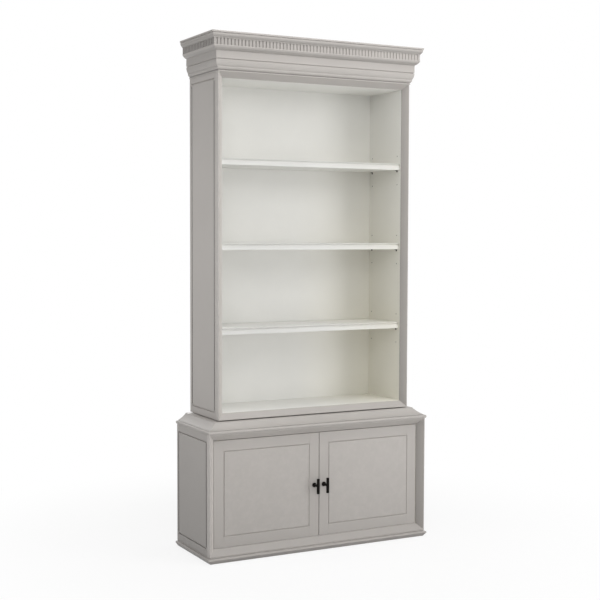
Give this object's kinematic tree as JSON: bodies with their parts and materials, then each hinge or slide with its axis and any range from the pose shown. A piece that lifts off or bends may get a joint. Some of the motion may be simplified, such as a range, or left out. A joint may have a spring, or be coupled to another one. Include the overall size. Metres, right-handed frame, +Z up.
{
  "type": "bookcase with cabinet doors",
  "caption": "Tall painted bookcase: open upper case with adjustable moulded shelves and a dentil cornice, on a deeper base cabinet with inset panelled doors and T-bar knobs.",
  "frame": {"origin": "on the floor, at the middle of the overall width and depth, door knobs included", "axes": "+X to the viewer's right, the front faces -Y, +Z up"},
  "size_m": [1.08, 0.3675, 2.2],
  "materials": {
    "grey_paint": "satin warm grey paint",
    "white_paint": "satin white paint",
    "black_iron": "matt black",
    "pin_steel": "dark bronze",
    "pivot_brass": "plain",
    "catch_plastic": "matt",
    "strike_steel": "zinc plated"
  },
  "bodies": {
    "carcass": {"base_back_panel": "white_paint", "base_bottom_board": "white_paint", "base_frame_bottom": "grey_paint", "base_frame_left": "grey_paint", "base_frame_right": "grey_paint", "base_frame_top": "grey_paint", "base_side_left": "grey_paint", "base_side_right": "grey_paint", "base_top_board": "grey_paint", "base_top_rail_back": "white_paint", "base_top_rail_front": "white_paint", "cabinet_shelf_pins": "pin_steel", "cornice_bed_front": "grey_paint", "cornice_bed_left": "grey_paint", "cornice_bed_right": "grey_paint", "cornice_cap_front": "grey_paint", "cornice_cap_left": "grey_paint", "cornice_cap_right": "grey_paint", "cornice_dentils_front": "grey_paint", "cornice_dentils_left": "grey_paint", "cornice_dentils_right": "grey_paint", "cornice_dust_board": "grey_paint", "door_pivot_pins": "pivot_brass", "magnet_catches": "catch_plastic", "plinth_back": "grey_paint", "plinth_front": "grey_paint", "plinth_left": "grey_paint", "plinth_right": "grey_paint", "surbase_front": "grey_paint", "surbase_left": "grey_paint", "surbase_right": "grey_paint", "upper_back_panel": "white_paint", "upper_bottom_board": "white_paint", "upper_frame_bottom": "grey_paint", "upper_frame_left": "grey_paint", "upper_frame_right": "grey_paint", "upper_frame_top": "grey_paint", "upper_frieze_board": "grey_paint", "upper_shelf_pins": "pin_steel", "upper_side_left": "grey_paint", "upper_side_right": "grey_paint", "upper_top_board": "white_paint"},
    "left_door": {"left_door_knob": "black_iron", "left_door_panel": "grey_paint", "left_door_rail_bottom": "grey_paint", "left_door_rail_top": "grey_paint", "left_door_stile_hinge": "grey_paint", "left_door_stile_meeting": "grey_paint", "left_door_strike": "strike_steel"},
    "right_door": {"right_door_knob": "black_iron", "right_door_panel": "grey_paint", "right_door_rail_bottom": "grey_paint", "right_door_rail_top": "grey_paint", "right_door_stile_hinge": "grey_paint", "right_door_stile_meeting": "grey_paint", "right_door_strike": "strike_steel"},
    "cabinet_shelf": {"cabinet_shelf": "white_paint"},
    "shelf_1": {"shelf_1": "white_paint"},
    "shelf_2": {"shelf_2": "white_paint"},
    "shelf_3": {"shelf_3": "white_paint"}
  },
  "joints": [
    {"name": "left_door_hinge", "type": "hinge", "parent": "carcass", "child": "left_door", "pos_m": [-0.4755, -0.13225, 0.28375], "axis": [0, 0, -1], "range_deg": [0, 110]},
    {"name": "right_door_hinge", "type": "hinge", "parent": "carcass", "child": "right_door", "pos_m": [0.4755, -0.13225, 0.28375], "axis": [0, 0, 1], "range_deg": [0, 110]},
    {"name": "cabinet_shelf_lift", "type": "slide", "parent": "carcass", "child": "cabinet_shelf", "axis": [0, 0, 1], "range_m": [0, 0.064]},
    {"name": "shelf_1_lift", "type": "slide", "parent": "carcass", "child": "shelf_1", "axis": [0, 0, 1], "range_m": [0, 0.064]},
    {"name": "shelf_2_lift", "type": "slide", "parent": "carcass", "child": "shelf_2", "axis": [0, 0, 1], "range_m": [0, 0.064]},
    {"name": "shelf_3_lift", "type": "slide", "parent": "carcass", "child": "shelf_3", "axis": [0, 0, 1], "range_m": [0, 0.064]}
  ]
}
